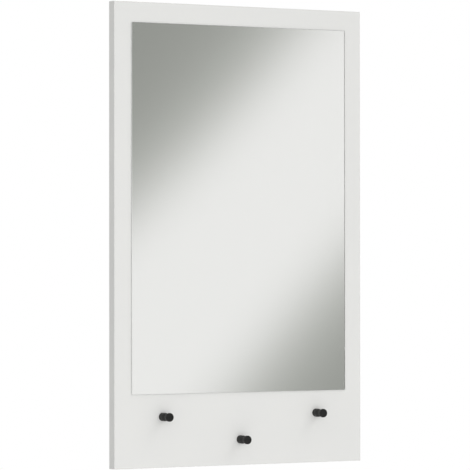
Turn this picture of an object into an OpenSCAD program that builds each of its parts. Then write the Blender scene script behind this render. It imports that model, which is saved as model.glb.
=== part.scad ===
// Wall mirror with three coat hooks
//
// A white faced board with banded edges carries a frameless mirror, taped to
// its front, and three black turned knobs, screwed on from behind. Two steel
// keyhole plates on its back hang it on two screws in the wall.
//
// Millimetres. X runs to the right as seen from the front, Y into the wall
// and Z up. The origin is on the wall's face, midway between the entry holes
// of the two keyhole plates.

/* [Panel] */
// Width of the panel over its edge bands
panel_w = 600; // [500:5:900]
// Height of the panel over its edge bands
panel_h = 960; // [700:5:1400]
// Thickness of the faced board
panel_t = 22; // [18:1:30]
// Thickness of the edge bands
band_t = 1; // [0.8:0.1:2]
// Rounding of the edge bands' long outer edges
band_r = 0.5; // [0.2:0.1:0.7]

/* [Mirror] */
// Board left bare on each side of the mirror
side_margin = 40; // [20:1:80]
// Board left bare above the mirror
top_margin = 42; // [20:1:80]
// Board left bare below the mirror, where the hooks are
hook_zone_h = 152; // [140:1:260]
// Thickness of the glass
glass_t = 2; // [2:0.5:6]
// Width of the ground arris round the glass
arris = 0.3; // [0.2:0.1:0.8]
// Thickness of the silvering and its paint
silvering_t = 0.1; // [0.1:0.05:0.3]
// Thickness of the double-sided tape
tape_t = 0.5; // [0.5:0.1:1.6]
// Width of the double-sided tape
tape_w = 19; // [12:1:25]
// Distance from the mirror's edges in to the tape
tape_inset = 35; // [15:1:60]

/* [Hooks] */
// Distance of the outer hooks from the panel's side edges
hook_side_inset = 113; // [60:1:180]
// Height of the outer hooks above the panel's bottom edge
outer_hook_h = 105; // [80:1:125]
// Height of the middle hook above the panel's bottom edge
middle_hook_h = 53.5; // [30:0.5:75]
// How far a hook stands out from the board
hook_len = 32; // [28:1:45]
// Diameter of a hook's barrel
barrel_d = 17.2; // [14:0.2:22]
// Radius of the shoulder over which the barrel draws in
shoulder_r = 16; // [4:1:20]
// Diameter of the waist between barrel and head
waist_d = 13.6; // [12:0.2:17]
// Radius of the hollow that makes the waist
throat_r = 11; // [8:0.5:14]
// Diameter of the head
head_d = 18; // [15:0.5:26]
// Length of the head
head_len = 4.5; // [4:0.5:8]
// Rounding of the head's front edge
head_r = 0.8; // [0.4:0.1:1.5]
// Chamfer where the barrel meets the board
foot_chamfer = 0.4; // [0.2:0.1:1]
// Diameter of the shallow dish in the head's face
dish_d = 12; // [6:0.5:12]
// Depth of the dish
dish_depth = 0.6; // [0.3:0.1:1]

/* [Hook screws] */
// Thread diameter of the hook screws
hook_screw_d = 4; // [3:0.5:5]
// Diameter of the pan head
pan_d = 8; // [7:0.5:10]
// Height of the pan head
pan_h = 3.1; // [2:0.1:4]
// Span of the cross recess in the pan head
pan_recess_span = 4.4; // [3:0.1:5]
// Depth of that recess
pan_recess_depth = 1.8; // [1:0.1:1.8]
// Length of thread held in a hook
thread_grip = 10.2; // [6:0.2:14]
// Spare depth of a hook's bore past the screw's end
bore_spare = 1.8; // [0.5:0.1:3]
// Outer diameter of the washers
washer_d = 9; // [8:0.5:12]
// Thickness of the washers
washer_t = 0.8; // [0.5:0.1:1.2]
// Diameter of the counterbore in the board's back
counterbore_d = 13; // [12.5:0.5:18]
// Depth of the counterbore in the board's back
counterbore_depth = 8; // [5:0.5:12]

/* [Wall hangers] */
// Distance of the keyhole plates' centres from the panel's side edges
hanger_inset = 100; // [40:1:190]
// Depth of the entry holes below the panel's top edge
hanger_drop = 75; // [50:1:150]
// Width of a keyhole plate
plate_w = 26; // [22:1:40]
// Length of a keyhole plate
plate_len = 60; // [60:1:90]
// Thickness of a keyhole plate
plate_t = 1.5; // [1.5:0.1:3]
// Rounding of a keyhole plate's corners
plate_r = 4; // [1:0.5:8]
// Diameter of the entry hole, which lets a wall screw's head in
entry_d = 10; // [9:0.5:12]
// Width of the slot, which the wall screw's shank slides up
slot_w = 5.2; // [4.5:0.1:6]
// Travel from the entry hole's centre to the slot's top centre
slot_travel = 12; // [10:0.5:14]
// Width of the pocket routed behind a plate for the screw's head
pocket_w = 16; // [13:0.5:17]
// Depth of that pocket
pocket_depth = 10; // [6:0.5:14]
// Distance between a plate's two wood screws
plate_screw_spacing = 46; // [42:1:52]
// Thread diameter of the wood screws
wood_screw_d = 3; // [2.5:0.1:4]
// Diameter of their countersunk heads
wood_screw_head_d = 6; // [5:0.5:7]
// Length of the wood screws
wood_screw_len = 16; // [12:1:17]
// Diameter of the flat at their points
point_d = 0.4; // [0.2:0.1:1]
// Span of the cross recess in their heads
wood_recess_span = 3.3; // [2.5:0.1:4]
// Depth of that recess
wood_recess_depth = 1.2; // [0.8:0.1:2]
// Width of all cross recesses
recess_w = 1; // [0.6:0.1:1.2]
// Diameter of the bumpers
bumper_d = 12; // [8:1:20]
// Chamfer round the bumpers' faces
bumper_chamfer = 0.3; // [0.1:0.1:0.6]
// Distance of the bumpers' centres from the panel's edges
bumper_inset = 30; // [15:1:60]

/* [Clearances] */
// Gap round a thread in its bore or pilot hole
thread_gap = 0.05; // [0.02:0.01:0.1]
// Gap round a hook screw in the board and in its washer
shank_gap = 0.25; // [0.1:0.05:0.4]

/* [Hidden] */

$fn = 64;
// Finer facets for a large circle that shows only as a shallow dish
dish_fn = 256;
// How far a cutting shape runs past the face that it cuts
past = 1;

// Planes along Y, from the wall to the glass
back_y = -plate_t;
front_y = back_y - panel_t;
silvering_y = front_y - tape_t;
glass_back_y = silvering_y - silvering_t;

// Outlines
top_z = hanger_drop;
bottom_z = top_z - panel_h;
core_w = panel_w - 2 * band_t;
core_h = panel_h - 2 * band_t;
mirror_w = panel_w - 2 * side_margin;
mirror_h = panel_h - top_margin - hook_zone_h;
mirror_z = bottom_z + hook_zone_h;

// Hooks, each as [x, z]
outer_hook_x = panel_w / 2 - hook_side_inset;
left_hook = [-outer_hook_x, bottom_z + outer_hook_h];
middle_hook = [0, bottom_z + middle_hook_h];
right_hook = [outer_hook_x, bottom_z + outer_hook_h];
hooks = [left_hook, middle_hook, right_hook];

// Hook screws: under the washer, through the board and into the hook
hook_screw_len = washer_t + panel_t - counterbore_depth + thread_grip;
pan_dome_r = pan_d;

// Tape strips, evenly spread between the mirror's insets
tape_count = 4;
tape_span = mirror_w - 2 * tape_inset - tape_w;
tape_h = mirror_h - 2 * tape_inset;
tape_step = tape_span / (tape_count - 1);

// Keyhole plates
hanger_x = panel_w / 2 - hanger_inset;
plate_mid_z = slot_travel / 2;
wood_screw_head_h = (wood_screw_head_d - wood_screw_d) / 2;
wood_screw_point = wood_screw_d;

// Bumpers
bumper_x = panel_w / 2 - bumper_inset;
bumper_z = bottom_z + bumper_inset;

// Colours
WHITE = [0.90, 0.90, 0.89];
GLASS = [0.78, 0.88, 0.86];
SILVER = [0.85, 0.86, 0.86];
FOAM = [0.55, 0.56, 0.57];
BLACK = [0.13, 0.13, 0.13];
ZINC = [0.72, 0.73, 0.75];
RUBBER = [0.45, 0.45, 0.45];

// --- Helpers ---------------------------------------------------------------

// Turns a shape drawn in XY and raised in +Z so that it grows out towards the
// front (-Y) from the plane at y, with its own Y upright.
module outward(x, y, z)
    translate([x, y, z])
        rotate([90, 0, 0])
            children();

// Rectangle [w, h] from the origin with four rounded corners
module rounded_rect(w, h, r) {
    translate([r, 0]) square([w - 2 * r, h]);
    translate([0, r]) square([w, h - 2 * r]);
    for (x = [r, w - r], y = [r, h - r])
        translate([x, y]) circle(r);
}

// Slot with round ends, from the origin up by travel
module slot_outline(width, travel) {
    circle(d = width);
    translate([-width / 2, 0]) square([width, travel]);
    translate([0, travel]) circle(d = width);
}

// Rectangle [l, t] from the origin with its four corners cut off
function chamfered(l, t, c) = [
    [c, 0], [l - c, 0], [l, c], [l, t - c],
    [l - c, t], [c, t], [0, t - c], [0, c],
];

// Cross recess in a screw head, cut upwards from z = 0
module cross_recess(span, depth)
    for (turn = [0, 90])
        rotate([0, 0, turn])
            translate([-span / 2, -recess_w / 2, -past])
                cube([span, recess_w, depth + past]);

// --- Panel -----------------------------------------------------------------

module board_blank()
    outward(0, back_y, 0)
        linear_extrude(panel_t)
            translate([-core_w / 2, bottom_z + band_t])
                square([core_w, core_h]);

// Stepped hole for a hook screw, its washer and its head
module hook_hole(at)
    outward(at[0], back_y + past, at[1]) {
        cylinder(d = counterbore_d, h = counterbore_depth + past);
        cylinder(d = hook_screw_d + 2 * shank_gap, h = panel_t + 2 * past);
    }

// Pocket for a wall screw's head
module hanger_pocket(x)
    outward(x, back_y + past, 0)
        linear_extrude(pocket_depth + past)
            slot_outline(pocket_w, slot_travel);

module backing_board()
    color(WHITE)
        difference() {
            board_blank();
            for (at = hooks)
                hook_hole(at);
            for (x = [-hanger_x, hanger_x]) {
                hanger_pocket(x);
                wood_screws(x, thread_gap);
            }
        }

// Band of edging: x runs in from its outer face, y over the board's thickness
module band_section()
    intersection() {
        square([band_t, panel_t]);
        rounded_rect(2 * (band_t + band_r), panel_t, band_r);
    }

module edge_band_upright(side)
    color(WHITE)
        mirror([side > 0 ? 1 : 0, 0, 0])
            translate([-panel_w / 2, front_y, bottom_z])
                linear_extrude(panel_h)
                    band_section();

module edge_band_top()
    color(WHITE)
        translate([-core_w / 2, front_y, top_z])
            rotate([0, 90, 0])
                linear_extrude(core_w)
                    band_section();

module edge_band_bottom()
    color(WHITE)
        translate([core_w / 2, front_y, bottom_z])
            rotate([0, -90, 0])
                linear_extrude(core_w)
                    band_section();

// --- Mirror ----------------------------------------------------------------

// Sheet with an arris ground along all its edges
module mirror_glass()
    color(GLASS)
        intersection() {
            translate([-mirror_w / 2, glass_back_y - glass_t, mirror_z])
                linear_extrude(mirror_h)
                    polygon(chamfered(mirror_w, glass_t, arris));
            translate([mirror_w / 2, glass_back_y - glass_t, mirror_z])
                rotate([0, -90, 0])
                    linear_extrude(mirror_w)
                        polygon(chamfered(mirror_h, glass_t, arris));
        }

module mirror_silvering()
    color(SILVER)
        translate([arris - mirror_w / 2, glass_back_y, mirror_z + arris])
            cube([mirror_w - 2 * arris, silvering_t, mirror_h - 2 * arris]);

// Tape strip, counted from the left from 0
module mirror_tape(index)
    color(FOAM)
        translate([index * tape_step - (tape_span + tape_w) / 2, silvering_y, mirror_z + tape_inset])
            cube([tape_w, tape_t, tape_h]);

// --- Hooks -----------------------------------------------------------------

// Half section of a hook: x is the radius, y the distance from the board. The
// barrel draws in over the shoulder's arc, which runs on into the throat's
// hollow arc, and the head stands at the throat's far end.
module hook_section() {
    barrel = barrel_d / 2;
    waist = waist_d / 2;
    head = head_d / 2;
    throat_x = waist + throat_r;
    throat_y = hook_len - head_len - sqrt(pow(throat_r, 2) - pow(throat_x - head, 2));
    shoulder_x = barrel - shoulder_r;
    shoulder_y = throat_y - sqrt(pow(shoulder_r + throat_r, 2) - pow(throat_x - shoulder_x, 2));
    dish_r = (pow(dish_d / 2, 2) + pow(dish_depth, 2)) / (2 * dish_depth);
    difference() {
        union() {
            polygon([
                [0, 0], [barrel - foot_chamfer, 0], [barrel, foot_chamfer],
                [barrel, shoulder_y], [waist, throat_y], [0, throat_y],
            ]);
            intersection() {
                translate([shoulder_x, shoulder_y]) circle(shoulder_r);
                square([barrel, throat_y]);
            }
            translate([0, throat_y]) square([head, hook_len - head_r - throat_y]);
            translate([0, throat_y]) square([head - head_r, hook_len - throat_y]);
            translate([head - head_r, hook_len - head_r]) circle(head_r);
        }
        translate([throat_x, throat_y]) circle(throat_r);
        translate([0, hook_len - dish_depth + dish_r]) circle(dish_r, $fn = dish_fn);
    }
}

module hook(at)
    color(BLACK)
        outward(at[0], front_y, at[1])
            difference() {
                rotate_extrude() hook_section();
                translate([0, 0, -past])
                    cylinder(d = hook_screw_d + 2 * thread_gap, h = thread_grip + bore_spare + past);
            }

// Pan-head screw with its head in the counterbore and its thread in the hook
module hook_screw(at)
    color(ZINC)
        outward(at[0], back_y - counterbore_depth + washer_t, at[1]) {
            cylinder(d = hook_screw_d, h = hook_screw_len);
            difference() {
                intersection() {
                    translate([0, 0, -pan_h]) cylinder(d = pan_d, h = pan_h);
                    translate([0, 0, pan_dome_r - pan_h]) sphere(pan_dome_r);
                }
                translate([0, 0, -pan_h]) cross_recess(pan_recess_span, pan_recess_depth);
            }
        }

module hook_washer(at)
    color(ZINC)
        outward(at[0], back_y - counterbore_depth + washer_t, at[1])
            difference() {
                cylinder(d = washer_d, h = washer_t);
                translate([0, 0, -past])
                    cylinder(d = hook_screw_d + 2 * shank_gap, h = washer_t + 2 * past);
            }

// --- Wall hangers ----------------------------------------------------------

// One countersunk wood screw, or with a gap the hole that it goes in
module wood_screw(gap)
    difference() {
        union() {
            cylinder(
                d1 = wood_screw_head_d + 2 * gap,
                d2 = wood_screw_d + 2 * gap,
                h = wood_screw_head_h
            );
            cylinder(d = wood_screw_d + 2 * gap, h = wood_screw_len - wood_screw_point);
            translate([0, 0, wood_screw_len - wood_screw_point])
                cylinder(
                    d1 = wood_screw_d + 2 * gap,
                    d2 = point_d + 2 * gap,
                    h = wood_screw_point + gap
                );
        }
        if (gap == 0)
            cross_recess(wood_recess_span, wood_recess_depth);
    }

// A plate's two wood screws, or the holes that they go in
module wood_screws(x, gap)
    for (side = [-1, 1])
        outward(x, 0, plate_mid_z + side * plate_screw_spacing / 2)
            wood_screw(gap);

module keyhole_plate(x)
    color(ZINC)
        difference() {
            outward(x, 0, 0)
                linear_extrude(plate_t)
                    difference() {
                        translate([-plate_w / 2, plate_mid_z - plate_len / 2])
                            rounded_rect(plate_w, plate_len, plate_r);
                        circle(d = entry_d);
                        slot_outline(slot_w, slot_travel);
                    }
            wood_screws(x, thread_gap);
        }

module plate_screws(x)
    color(ZINC)
        wood_screws(x, 0);

module wall_bumper(x)
    color(RUBBER)
        outward(x, 0, bumper_z) {
            cylinder(d1 = bumper_d - 2 * bumper_chamfer, d2 = bumper_d, h = bumper_chamfer);
            translate([0, 0, bumper_chamfer])
                cylinder(d = bumper_d, h = plate_t - bumper_chamfer);
        }

// --- Assembly --------------------------------------------------------------

backing_board();
edge_band_upright(-1);  // edge_band_left
edge_band_upright(1);  // edge_band_right
edge_band_top();
edge_band_bottom();

mirror_glass();
mirror_silvering();
mirror_tape(0);  // mirror_tape_outer_left
mirror_tape(1);  // mirror_tape_inner_left
mirror_tape(2);  // mirror_tape_inner_right
mirror_tape(3);  // mirror_tape_outer_right

hook(left_hook);  // hook_left
hook(middle_hook);  // hook_middle
hook(right_hook);  // hook_right
hook_screw(left_hook);  // hook_screw_left
hook_screw(middle_hook);  // hook_screw_middle
hook_screw(right_hook);  // hook_screw_right
hook_washer(left_hook);  // hook_washer_left
hook_washer(middle_hook);  // hook_washer_middle
hook_washer(right_hook);  // hook_washer_right

keyhole_plate(-hanger_x);  // keyhole_plate_left
keyhole_plate(hanger_x);  // keyhole_plate_right
plate_screws(-hanger_x);  // plate_screws_left
plate_screws(hanger_x);  // plate_screws_right
wall_bumper(-bumper_x);  // wall_bumper_left
wall_bumper(bumper_x);  // wall_bumper_right
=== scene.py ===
"""A wall mirror with three coat hooks: its finishes, the studio round it and the camera.

Metres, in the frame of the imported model: X to the right as seen from the front,
Y into the wall and Z up, from the wall's face midway between the two hangers.
"""

import math

import bmesh
import bpy
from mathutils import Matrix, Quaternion, Vector


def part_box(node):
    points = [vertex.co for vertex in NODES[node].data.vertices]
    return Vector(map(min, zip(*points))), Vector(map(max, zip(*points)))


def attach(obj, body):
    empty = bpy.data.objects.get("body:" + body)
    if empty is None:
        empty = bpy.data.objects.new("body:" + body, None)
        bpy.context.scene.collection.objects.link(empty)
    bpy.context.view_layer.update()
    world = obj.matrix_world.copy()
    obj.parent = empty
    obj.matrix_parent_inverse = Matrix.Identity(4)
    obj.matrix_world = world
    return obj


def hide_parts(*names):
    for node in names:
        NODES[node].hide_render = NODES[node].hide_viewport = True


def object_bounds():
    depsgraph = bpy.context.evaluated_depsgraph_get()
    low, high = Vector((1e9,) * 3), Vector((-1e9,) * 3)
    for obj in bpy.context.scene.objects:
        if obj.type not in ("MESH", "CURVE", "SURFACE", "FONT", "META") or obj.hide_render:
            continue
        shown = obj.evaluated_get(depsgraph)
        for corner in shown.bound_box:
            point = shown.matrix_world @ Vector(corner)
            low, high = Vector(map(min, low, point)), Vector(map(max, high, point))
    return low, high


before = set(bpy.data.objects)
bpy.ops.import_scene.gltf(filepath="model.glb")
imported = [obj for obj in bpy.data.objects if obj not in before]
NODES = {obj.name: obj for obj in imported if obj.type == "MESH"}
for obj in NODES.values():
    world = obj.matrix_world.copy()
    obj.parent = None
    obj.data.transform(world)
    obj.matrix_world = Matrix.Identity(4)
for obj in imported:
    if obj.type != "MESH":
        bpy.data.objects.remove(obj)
CAD_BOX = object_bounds()

SIDES = ("left", "right")
HOOKS = ("left", "middle", "right")
BANDS = ("left", "right", "top", "bottom")
TAPES = ("outer_left", "inner_left", "inner_right", "outer_right")

# --- Places, read from the model ---------------------------------------------

CORE_LOW, CORE_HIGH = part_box("backing_board")
GLASS_LOW, GLASS_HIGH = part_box("mirror_glass")
SILVER_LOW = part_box("mirror_silvering")[0]
ARRIS = SILVER_LOW.x - GLASS_LOW.x
CENTRE = (CAD_BOX[0] + CAD_BOX[1]) / 2

# --- Camera: where the photograph was taken from ------------------------------

CAMERA_TARGET = Vector((-0.012, CORE_LOW.y, -0.404))
CAMERA_DISTANCE = 6.923
CAMERA_AZIMUTH = math.radians(-30.885)
CAMERA_ELEVATION = math.radians(-0.553)
CAMERA_ROLL = math.radians(-0.046)
CAMERA_LENS_MM = 253.5
SENSOR_MM = 36.0

# --- Studio -------------------------------------------------------------------

# Strength of the even light on surfaces. The background that is seen has 1.
AMBIENT = 0.625

# The floor is plain up to the first of the two distances and white past the second.
FLOOR_DROP = 3.0
FLOOR_RADIUS = 40.0
FLOOR_FADE = (1.5, 9.0)
FLOOR_COLOUR = (0.80, 0.80, 0.80, 1)
FLOOR_ROUGHNESS = 0.9

# The backdrop that the mirror shows: soft slanted bands of light on a far dome.
# Their angles are in degrees about the mirror, and their levels in display
# brightness, from 0 to 1.
DOME_RADIUS = 60.0
DOME_CENTRE_AZIMUTH = 30.885
DOME_CENTRE_ELEVATION = 0.553
BAND_SLANT = math.radians(42.6)
BAND_OFFSET = 0.09
BAND_PERIOD = 11.37
BAND_HALF_WIDTH = 2.10
BAND_SHARPNESS = 4.66
BAND_BOW = 0.10
BOW_MIDDLE = -1.26
BOW_PERIOD = 10.45
BAND_LEVELS = (0.583, 0.940)
DISPLAY_GAMMA = 2.2
BACKDROP_BRIGHT = (1.0, 0.987, 0.986, 1)
BACKDROP_DARK = (0.983, 1.0, 0.943, 1)

# --- Finishes -----------------------------------------------------------------

WHITE = (0.790, 0.790, 0.771, 1)
WHITE_COOL = (0.782, 0.783, 0.766, 1)
BAND_WHITE = (0.802, 0.805, 0.783, 1)
GLUE_LINE = (0.42, 0.40, 0.36, 1)
CHIP_DARK = (0.30, 0.18, 0.09, 1)
CHIP_LIGHT = (0.68, 0.51, 0.33, 1)
GLASS_CLEAR = (0.992, 0.997, 0.990, 1)
GLASS_TINTED = (0.991, 0.997, 0.989, 1)
GLASS_EDGE = (0.960, 0.970, 0.962, 1)
GLASS_EDGE_DEEP = (0.92, 0.94, 0.93, 1)
SILVER = (0.955, 0.960, 0.955, 1)
BACK_PAINT = (0.22, 0.24, 0.25, 1)
BACK_PAINT_PALE = (0.26, 0.28, 0.29, 1)
FOAM = (0.60, 0.60, 0.57, 1)
# Painted shade: the foam's colour darkened in the hollow of each pore
FOAM_PORE_SHADE = (0.42, 0.42, 0.40, 1)
BLACK = (0.006, 0.006, 0.006, 1)
BLACK_WORN = (0.011, 0.011, 0.010, 1)
ZINC = (0.66, 0.67, 0.69, 1)
ZINC_DULL = (0.54, 0.56, 0.59, 1)
RUBBER = (0.110, 0.112, 0.115, 1)
RUBBER_PALE = (0.150, 0.152, 0.155, 1)

COAT_IOR = 1.5
RUBBER_IOR = 1.45
GLASS_IOR = 1.52
# Ground glass bends light hardly at all here, so that its faces scatter and don't shine.
GROUND_IOR = 1.05
GROUND_TRANSMISSION = 0.4

# Roughness, as the least and the most that a finish's fine texture gives it
FACING_ROUGHNESS = (0.38, 0.46)
BAND_ROUGHNESS = (0.32, 0.40)
GROUND_ROUGHNESS = (0.5, 0.65)
BACK_PAINT_ROUGHNESS = (0.5, 0.6)
KNOB_ROUGHNESS = (0.50, 0.60)
ZINC_ROUGHNESS = (0.26, 0.42)
RUBBER_ROUGHNESS = (0.62, 0.78)
FOAM_ROUGHNESS = 0.85
# What bare chipboard adds to the facing's
CHIP_ADDED_ROUGHNESS = 0.45

# Depth of each finish's relief, and the share in it of a second, fainter texture
CHIP_RELIEF = 0.0004
PEBBLE_SHARE = 0.1
BAND_RELIEF = 0.00003
CHATTER_SHARE = 0.15
FOAM_RELIEF = 0.0001
KNOB_RELIEF = 0.00004
ZINC_RELIEF = 0.00002
RUBBER_RELIEF = 0.00008

# Thicknesses that the materials show
FACING_T = 0.0002
GLUE_LINE_W = 0.00012
FILM_T = 0.00002

# How far the pane stops short of the silvering
PANE_BACK_GAP = 0.00003
# A face of the pane whose normal points along Y more than this is one of its two large ones
FLAT = 0.99

# Spans of a texture's values that are spread out: nearly all of a noise's, fewer for
# clouds and patches with firmer edges, those of two textures added up, and the
# distances in foam's cells
WHOLE_SPAN = (0, 1)
NOISE_SPAN = (0.3, 0.7)
CLOUD_SPAN = (0.35, 0.65)
PATCH_SPAN = (0.4, 0.7)
CHIP_SPAN = (0.5, 1.5)
ZINC_SPAN = (0.4, 1.6)
PORE_SPAN = (0.1, 0.5)

# Sockets of the node that mixes colours, where one name stands for several
MIX_FACTOR, MIX_A, MIX_B = 0, 6, 7
MIX_RESULT = 2


class Nodes:
    """A node tree, with short ways to add to it."""

    def __init__(self, tree):
        self.tree = tree

    def feed(self, socket, value):
        """Links a socket to another, or gives it a value."""
        if isinstance(value, bpy.types.NodeSocket):
            self.tree.links.new(value, socket)
        else:
            socket.default_value = value

    def node(self, kind, inputs=(), **settings):
        made = self.tree.nodes.new("ShaderNode" + kind)
        for name, value in settings.items():
            setattr(made, name, value)
        for key, value in dict(inputs).items():
            self.feed(made.inputs[key], value)
        return made

    def math(self, operation, a, b=0.0):
        return self.node("Math", {0: a, 1: b}, operation=operation).outputs[0]


class Finish(Nodes):
    """A Principled material, and the nodes that feed it.

    The scale of a texture is the number of its features in a metre.
    """

    def __init__(self, name, settings):
        self.material = bpy.data.materials.new(name)
        self.material.use_nodes = True
        super().__init__(self.material.node_tree)
        self.shader = self.tree.nodes["Principled BSDF"]
        self.coordinates = self.node("TexCoord").outputs["Object"]
        for socket, value in settings.items():
            self.set(socket, value)

    def set(self, socket, value):
        """Feeds a socket of the Principled shader."""
        self.feed(self.shader.inputs[socket], value)

    def show(self, shader):
        """Gives the surface another shader than the Principled one."""
        self.feed(self.tree.nodes["Material Output"].inputs["Surface"], shader.outputs[0])

    def place(self, axis):
        """One coordinate of the surface, in metres: "X", "Y" or "Z"."""
        return self.node("SeparateXYZ", {0: self.coordinates}).outputs[axis]

    def stretched(self, scale):
        """The surface's place with each axis scaled."""
        return self.node("Mapping", {"Vector": self.coordinates, "Scale": scale}).outputs[0]

    def noise(self, scale, detail=3.0, stretch=(1, 1, 1)):
        inputs = {"Vector": self.stretched(stretch), "Scale": scale, "Detail": detail}
        return self.node("TexNoise", inputs).outputs["Fac"]

    def cells(self, scale, stretch=(1, 1, 1)):
        """A random value from 0 to 1 for each cell."""
        inputs = {"Vector": self.stretched(stretch), "Scale": scale}
        colour = self.node("TexVoronoi", inputs).outputs["Color"]
        return self.node("SeparateColor", {0: colour}).outputs[0]

    def pores(self, scale):
        """The distance from the middle of each cell, in widths of a cell."""
        inputs = {"Vector": self.coordinates, "Scale": scale}
        return self.node("TexVoronoi", inputs).outputs["Distance"]

    def waves(self, scale, distortion):
        """Bands across Z."""
        inputs = {"Vector": self.coordinates, "Scale": scale, "Distortion": distortion}
        return self.node("TexWave", inputs, bands_direction="Z").outputs["Fac"]

    def ramp(self, value, span, levels=(0, 1), interpolation="LINEAR"):
        """A value that goes from the first level to the second over a span of the given one."""
        inputs = {
            "Value": value,
            "From Min": span[0], "From Max": span[1],
            "To Min": levels[0], "To Max": levels[1],
        }
        return self.node("MapRange", inputs, interpolation_type=interpolation).outputs[0]

    def blend(self, factor, a, b):
        """Colour a where the factor is 0, and b where it is 1."""
        inputs = {MIX_FACTOR: factor, MIX_A: a, MIX_B: b}
        return self.node("Mix", inputs, data_type="RGBA").outputs[MIX_RESULT]

    def inverse(self, share):
        return self.math("SUBTRACT", 1.0, share)

    def relief(self, height, depth):
        """Bumps of a depth in metres where the height goes from 0 to 1."""
        self.set("Normal", self.node("Bump", {"Height": height, "Distance": depth}).outputs[0])

    def near_ends(self, axis, low, high, within):
        """1 where a coordinate is so close to low or high, or past them, and 0 between."""
        middle, half = (low + high) / 2, (high - low) / 2
        distance = self.math("ABSOLUTE", self.math("SUBTRACT", self.place(axis), middle))
        return self.math("GREATER_THAN", distance, half - within)


# --- One function for each finish ---------------------------------------------


def faced_board():
    """Satin white melamine on both faces, chipboard where a bore or pocket cuts in."""
    f = Finish("faced_board", {"IOR": COAT_IOR})
    cloud = f.ramp(f.noise(9, detail=4), CLOUD_SPAN)
    pebble = f.noise(1500)
    facing = f.near_ends("Y", CORE_LOW.y, CORE_HIGH.y, FACING_T)
    bare = f.inverse(facing)
    glue_x = f.near_ends("X", CORE_LOW.x, CORE_HIGH.x, GLUE_LINE_W)
    glue_z = f.near_ends("Z", CORE_LOW.z, CORE_HIGH.z, GLUE_LINE_W)
    white = f.blend(cloud, WHITE, WHITE_COOL)
    white = f.blend(f.math("MAXIMUM", glue_x, glue_z), white, GLUE_LINE)
    flake = f.cells(420, stretch=(1, 4, 1))
    fibre = f.noise(1600, detail=4, stretch=(1, 5, 1))
    chips = f.blend(f.ramp(f.math("ADD", flake, fibre), CHIP_SPAN), CHIP_DARK, CHIP_LIGHT)
    f.set("Base Color", f.blend(facing, chips, white))
    satin = f.ramp(pebble, NOISE_SPAN, FACING_ROUGHNESS)
    f.set("Roughness", f.math("ADD", satin, f.math("MULTIPLY", bare, CHIP_ADDED_ROUGHNESS)))
    height = f.math("MULTIPLY", fibre, bare)
    f.relief(f.math("ADD", f.math("MULTIPLY", pebble, PEBBLE_SHARE), height), CHIP_RELIEF)
    return f.material


def edge_band():
    """White plastic edging, a little smoother than the board, with faint milling marks."""
    f = Finish("edge_band", {"IOR": COAT_IOR})
    cloud = f.ramp(f.noise(14), CLOUD_SPAN)
    f.set("Base Color", f.blend(cloud, BAND_WHITE, WHITE_COOL))
    grain = f.noise(900)
    f.set("Roughness", f.ramp(grain, NOISE_SPAN, BAND_ROUGHNESS))
    chatter = f.math("MULTIPLY", f.waves(120, distortion=0.6), CHATTER_SHARE)
    f.relief(f.math("ADD", chatter, grain), BAND_RELIEF)
    return f.material


def clear_glass():
    """Clear float glass, polished by its making, with the slightest green."""
    f = Finish("mirror_glass", {"IOR": GLASS_IOR, "Transmission Weight": 1.0, "Roughness": 0.0})
    tint = f.ramp(f.noise(3, detail=2), NOISE_SPAN)
    f.set("Base Color", f.blend(tint, GLASS_CLEAR, GLASS_TINTED))
    return f.material


def ground_glass():
    """The edges of the pane, ground to a pale frost that lets light through scattered."""
    f = Finish("ground_glass", {"IOR": GROUND_IOR, "Transmission Weight": GROUND_TRANSMISSION})
    grind = f.noise(2500)
    f.set("Base Color", f.blend(f.ramp(grind, NOISE_SPAN), GLASS_EDGE, GLASS_EDGE_DEEP))
    f.set("Roughness", f.ramp(grind, NOISE_SPAN, GROUND_ROUGHNESS))
    return f.material


def silvering():
    """Silver against the glass, and a grey protective paint behind it."""
    f = Finish("silvering", {"IOR": COAT_IOR})
    painted = f.math("GREATER_THAN", f.place("Y"), SILVER_LOW.y + FILM_T)
    spray = f.ramp(f.noise(700), NOISE_SPAN)
    f.set("Base Color", f.blend(painted, SILVER, f.blend(spray, BACK_PAINT, BACK_PAINT_PALE)))
    f.set("Metallic", f.inverse(painted))
    f.set("Roughness", f.math("MULTIPLY", painted, f.ramp(spray, WHOLE_SPAN, BACK_PAINT_ROUGHNESS)))
    return f.material


def foam_tape():
    """Closed-cell foam, with painted shade in the hollow of each pore."""
    f = Finish("foam_tape", {"Roughness": FOAM_ROUGHNESS, "IOR": RUBBER_IOR})
    pores = f.pores(2200)
    # Painted shade: darker towards each pore's middle, where the relief dips
    f.set("Base Color", f.blend(f.ramp(pores, PORE_SPAN), FOAM_PORE_SHADE, FOAM))
    f.relief(pores, FOAM_RELIEF)
    return f.material


def black_knob():
    """Satin black coat over turned metal, with the faint texture of the spray."""
    f = Finish("black_knob", {"IOR": COAT_IOR})
    orange_peel = f.noise(1400)
    cloud = f.ramp(f.noise(220, detail=4), PATCH_SPAN)
    f.set("Base Color", f.blend(cloud, BLACK, BLACK_WORN))
    f.set("Roughness", f.ramp(orange_peel, NOISE_SPAN, KNOB_ROUGHNESS))
    f.relief(orange_peel, KNOB_RELIEF)
    return f.material


def zinc_steel():
    """Bright zinc plate over stamped steel: fine spangle, with a drawn grain."""
    f = Finish("zinc_steel", {"Metallic": 1.0})
    spangle = f.cells(700)
    drawn = f.noise(420, detail=5, stretch=(1, 1, 0.07))
    f.set("Base Color", f.blend(f.ramp(f.math("ADD", spangle, drawn), ZINC_SPAN), ZINC_DULL, ZINC))
    f.set("Roughness", f.ramp(drawn, NOISE_SPAN, ZINC_ROUGHNESS))
    f.relief(drawn, ZINC_RELIEF)
    return f.material


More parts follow.
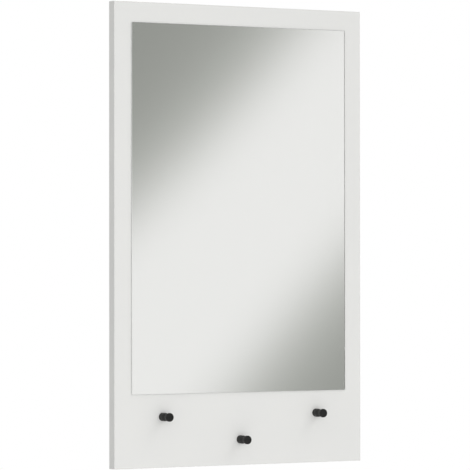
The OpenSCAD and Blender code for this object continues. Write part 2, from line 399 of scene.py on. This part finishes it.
def bumper_rubber():
    """Matt grey rubber."""
    f = Finish("bumper_rubber", {"IOR": RUBBER_IOR})
    grain = f.noise(1100, detail=4)
    f.set("Base Color", f.blend(f.ramp(grain, NOISE_SPAN), RUBBER, RUBBER_PALE))
    f.set("Roughness", f.ramp(grain, NOISE_SPAN, RUBBER_ROUGHNESS))
    f.relief(grain, RUBBER_RELIEF)
    return f.material


def dress(material, names):
    """Gives CAD nodes a material."""
    for name in names:
        NODES[name].data.materials.clear()
        NODES[name].data.materials.append(material)


# --- The pane -----------------------------------------------------------------


def linked_object(name, shape, materials):
    """An object in the scene, from a bmesh that this frees."""
    mesh = bpy.data.meshes.new(name)
    shape.to_mesh(mesh)
    shape.free()
    for material in materials:
        mesh.materials.append(material)
    made = bpy.data.objects.new(name, mesh)
    bpy.context.scene.collection.objects.link(made)
    return made


def glass_pane(clear, ground):
    """The glass, with all its edges ground. Its back stops just short of the silvering."""
    low, high = GLASS_LOW.copy(), GLASS_HIGH.copy()
    high.y -= PANE_BACK_GAP
    shape = bmesh.new()
    bmesh.ops.create_cube(shape, size=1.0)
    bmesh.ops.scale(shape, vec=high - low, verts=shape.verts)
    bmesh.ops.translate(shape, vec=(low + high) / 2, verts=shape.verts)
    bmesh.ops.bevel(shape, geom=shape.edges[:], offset=ARRIS, segments=1, affect="EDGES")
    bmesh.ops.recalc_face_normals(shape, faces=shape.faces)
    for face in shape.faces:
        face.material_index = 0 if abs(face.normal.y) > FLAT else 1
    pane = linked_object("mirror_pane", shape, [clear, ground])
    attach(pane, "root")
    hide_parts("mirror_glass")


# --- Studio -------------------------------------------------------------------


def direction(azimuth, elevation):
    """The unit vector out from the object towards that side."""
    return Vector((
        math.sin(azimuth) * math.cos(elevation),
        -math.cos(azimuth) * math.cos(elevation),
        math.sin(elevation),
    ))


def link_facing(looker, target, out, distance, roll=0.0):
    """Puts a camera or lamp in the scene, so far out from a target and facing it."""
    looker.location = target + out * distance
    looker.rotation_mode = "QUATERNION"
    upright = (-out).to_track_quat("-Z", "Y")
    looker.rotation_quaternion = upright @ Quaternion((0, 0, 1), roll)
    bpy.context.scene.collection.objects.link(looker)


def add_camera():
    data = bpy.data.cameras.new("camera")
    data.lens = CAMERA_LENS_MM
    data.sensor_width = SENSOR_MM
    camera = bpy.data.objects.new("camera", data)
    out = direction(CAMERA_AZIMUTH, CAMERA_ELEVATION)
    link_facing(camera, CAMERA_TARGET, out, CAMERA_DISTANCE, CAMERA_ROLL)
    bpy.context.scene.camera = camera


def add_lamp(name, watts, size, distance, azimuth, elevation):
    """A large soft lamp that faces the panel's middle, and that nothing mirrors."""
    data = bpy.data.lights.new(name, "AREA")
    data.energy = watts
    data.size = size
    lamp = bpy.data.objects.new(name, data)
    out = direction(math.radians(azimuth), math.radians(elevation))
    link_facing(lamp, CENTRE, out, distance)
    lamp.visible_camera = False
    lamp.visible_glossy = False
    lamp.visible_transmission = False


def add_world():
    """White to the camera and in reflections, and an even soft light on surfaces."""
    world = bpy.data.worlds.new("studio")
    world.use_nodes = True
    bpy.context.scene.world = world
    sky = Nodes(world.node_tree)
    rays = sky.node("LightPath")
    strength = AMBIENT
    for kind in ("Is Camera Ray", "Is Glossy Ray", "Is Transmission Ray"):
        strength = sky.math("MAXIMUM", strength, rays.outputs[kind])
    background = sky.tree.nodes["Background"]
    sky.feed(background.inputs["Color"], (1, 1, 1, 1))
    sky.feed(background.inputs["Strength"], strength)


def stage_object(name, shape, material):
    """Links an object of the studio into the scene, from a bmesh that this frees."""
    made = linked_object(name, shape, [material])
    return made


def add_floor():
    """A pale floor under the panel, which shows only from above and turns white further off."""
    f = Finish("floor", {"Base Color": FLOOR_COLOUR, "Roughness": FLOOR_ROUGHNESS})
    away = f.node("VectorMath", {0: f.coordinates}, operation="LENGTH").outputs["Value"]
    fade = f.ramp(away, FLOOR_FADE, interpolation="SMOOTHSTEP")
    far = f.math("MULTIPLY", fade, f.node("LightPath").outputs["Is Camera Ray"])
    white = f.node("Emission").outputs[0]
    top = f.node("MixShader", {0: far, 1: f.shader.outputs[0], 2: white}).outputs[0]
    underside = f.node("NewGeometry").outputs["Backfacing"]
    clear = f.node("BsdfTransparent").outputs[0]
    f.show(f.node("MixShader", {0: underside, 1: top, 2: clear}))
    shape = bmesh.new()
    bmesh.ops.create_circle(shape, cap_ends=True, segments=96, radius=FLOOR_RADIUS)
    floor = stage_object("floor", shape, f.material)
    floor.location = (0, 0, CAD_BOX[0].z - FLOOR_DROP)
    floor.visible_glossy = False
    floor.visible_transmission = False


def backdrop_light():
    """Soft slanted bands, bright on grey, by the direction in which they lie."""
    f = Finish("backdrop", {})
    flat = f.math("ARCTAN2", f.place("X"), f.math("MULTIPLY", f.place("Y"), -1.0))
    height = f.math("ARCSINE", f.math("DIVIDE", f.place("Z"), DOME_RADIUS))
    across = f.math("SUBTRACT", f.math("DEGREES", flat), DOME_CENTRE_AZIMUTH)
    down = f.math("SUBTRACT", DOME_CENTRE_ELEVATION, f.math("DEGREES", height))
    slanted = f.math("ADD", f.math("MULTIPLY", across, math.cos(BAND_SLANT)),
                     f.math("MULTIPLY", down, math.sin(BAND_SLANT)))
    along = f.math("SUBTRACT", f.math("MULTIPLY", down, math.cos(BAND_SLANT)),
                   f.math("MULTIPLY", across, math.sin(BAND_SLANT)))
    turn = f.math("MULTIPLY", f.math("SUBTRACT", along, BOW_MIDDLE), 2 * math.pi / BOW_PERIOD)
    bow = f.math("MULTIPLY", f.inverse(f.math("COSINE", turn)), BAND_BOW)
    off_middle = f.math("PINGPONG", f.math("SUBTRACT", slanted, BAND_OFFSET), BAND_PERIOD / 2)
    off_centre = f.math("MAXIMUM", f.math("SUBTRACT", off_middle, bow), 0.0)
    falloff = f.math("POWER", f.math("DIVIDE", off_centre, BAND_HALF_WIDTH), BAND_SHARPNESS)
    share = f.math("DIVIDE", 1.0, f.math("ADD", falloff, 1.0))
    level = f.math("POWER", f.ramp(share, WHOLE_SPAN, BAND_LEVELS), DISPLAY_GAMMA)
    colour = f.blend(share, BACKDROP_DARK, BACKDROP_BRIGHT)
    f.show(f.node("Emission", {"Color": colour, "Strength": level}))
    f.material.cycles.emission_sampling = "NONE"
    return f.material


def add_backdrop():
    """A dome round everything, which only reflections and glass show."""
    shape = bmesh.new()
    bmesh.ops.create_uvsphere(shape, u_segments=96, v_segments=48, radius=DOME_RADIUS)
    dome = stage_object("backdrop", shape, backdrop_light())
    dome.location = CENTRE
    dome.visible_camera = False
    dome.visible_diffuse = False
    dome.visible_shadow = False
    dome.visible_volume_scatter = False


# --- Put together -------------------------------------------------------------

bpy.context.scene.view_settings.view_transform = "Standard"
add_camera()
add_lamp("key", watts=241, size=7, distance=12, azimuth=50, elevation=45)
add_lamp("fill", watts=127, size=4, distance=6, azimuth=-15, elevation=-5)
add_lamp("back", watts=140, size=4, distance=6, azimuth=150, elevation=20)
add_world()
add_floor()
add_backdrop()

dress(faced_board(), ["backing_board"])
dress(edge_band(), [f"edge_band_{side}" for side in BANDS])
dress(silvering(), ["mirror_silvering"])
dress(foam_tape(), [f"mirror_tape_{place}" for place in TAPES])
dress(black_knob(), [f"hook_{place}" for place in HOOKS])
dress(zinc_steel(), [f"{kind}_{place}" for kind in ("hook_screw", "hook_washer") for place in HOOKS]
      + [f"{kind}_{side}" for kind in ("keyhole_plate", "plate_screws") for side in SIDES])
dress(bumper_rubber(), [f"wall_bumper_{side}" for side in SIDES])
glass_pane(clear_glass(), ground_glass())
